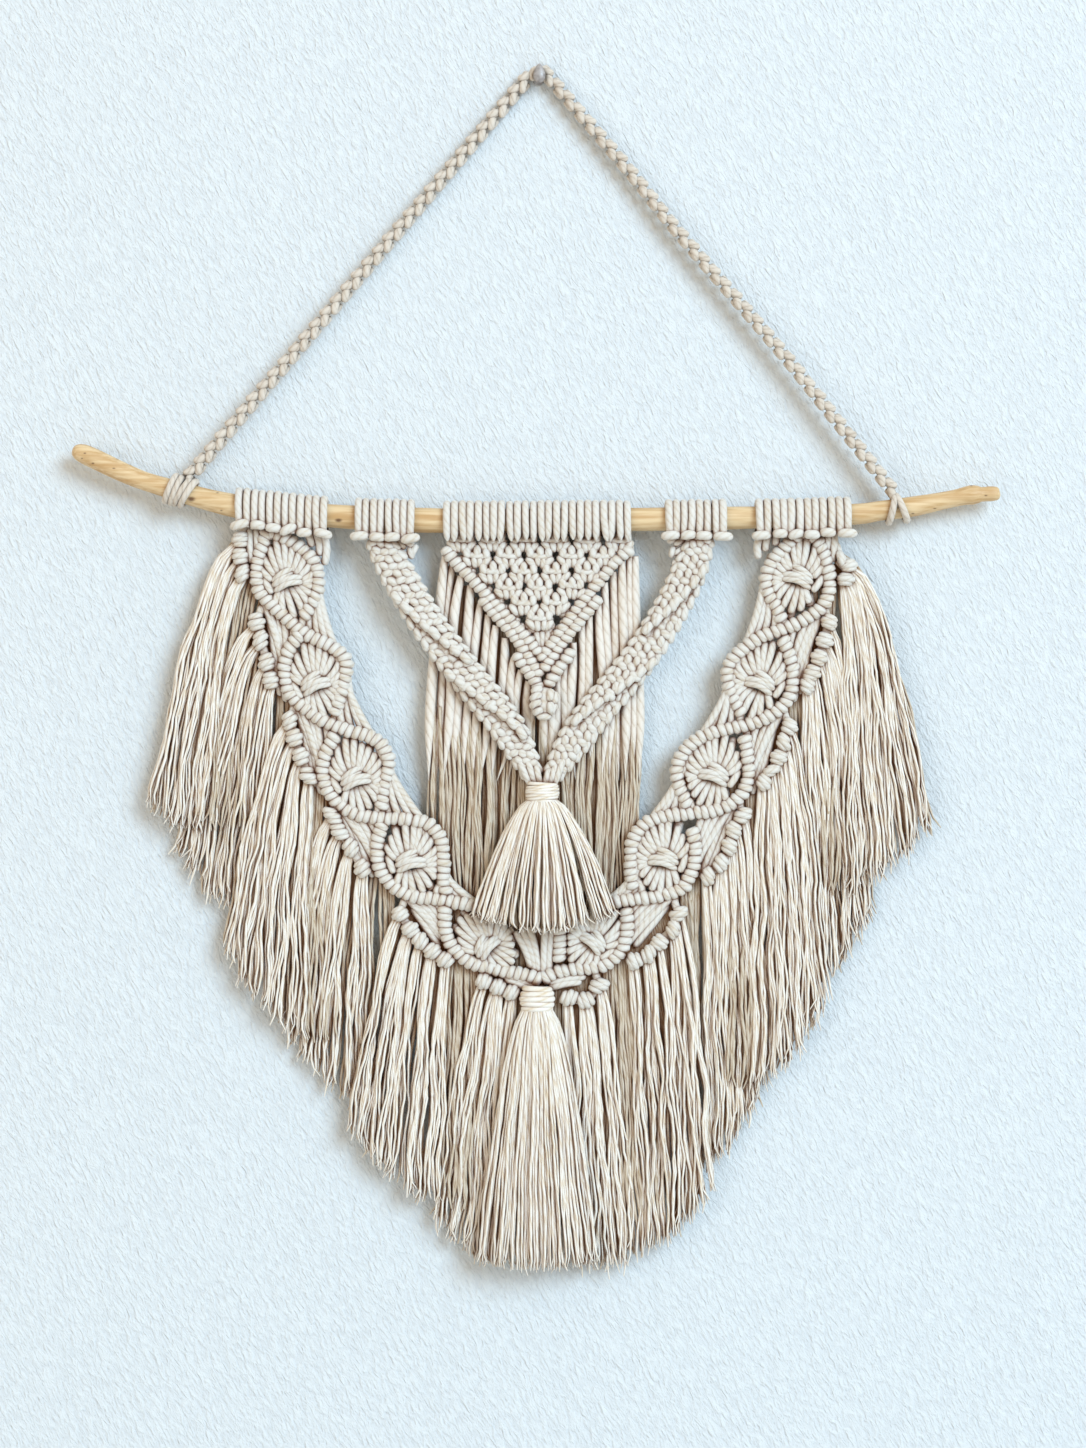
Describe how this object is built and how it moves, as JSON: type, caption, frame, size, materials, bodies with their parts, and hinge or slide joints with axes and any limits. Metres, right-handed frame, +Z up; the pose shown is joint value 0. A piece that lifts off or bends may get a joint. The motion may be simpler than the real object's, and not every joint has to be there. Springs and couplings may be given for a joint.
{
  "type": "macrame wall hanging with branch rod and wall hook",
  "caption": "Cotton macrame wall hanging of linked rings, a net panel, woven straps, tassels and long fringe, tied to a bent branch rod on a cord over a wall hook.",
  "frame": {"origin": "middle of the hook's flat back, which lies on the wall", "axes": "+X to the right along the rod seen from the front, +Y into the wall, +Z up"},
  "size_m": [0.6036, 0.0374, 0.7841],
  "materials": {
    "branch_wood": "peeled and sanded, satin",
    "hook_plastic": "pale translucent grey, smooth",
    "hanger_cord": "knotted cotton cord, matte",
    "knotted_cord": "twisted cotton cord, matte",
    "fringe_cord": "combed cotton yarn, matte"
  },
  "bodies": {
    "root": {"rod": "branch_wood", "hook": "hook_plastic", "hanger": "hanger_cord", "band_left": "knotted_cord", "band_right": "knotted_cord", "panel_centre": "knotted_cord", "fringe_centre": "fringe_cord", "sinnet_left": "knotted_cord", "sinnet_right": "knotted_cord", "tassel_upper": "fringe_cord", "tassel_lower": "fringe_cord", "fringe_left_1": "fringe_cord", "fringe_left_2": "fringe_cord", "fringe_left_3": "fringe_cord", "fringe_left_4": "fringe_cord", "fringe_left_5": "fringe_cord", "fringe_left_6": "fringe_cord", "fringe_right_1": "fringe_cord", "fringe_right_2": "fringe_cord", "fringe_right_3": "fringe_cord", "fringe_right_4": "fringe_cord", "fringe_right_5": "fringe_cord", "fringe_right_6": "fringe_cord"}
  },
  "joints": []
}
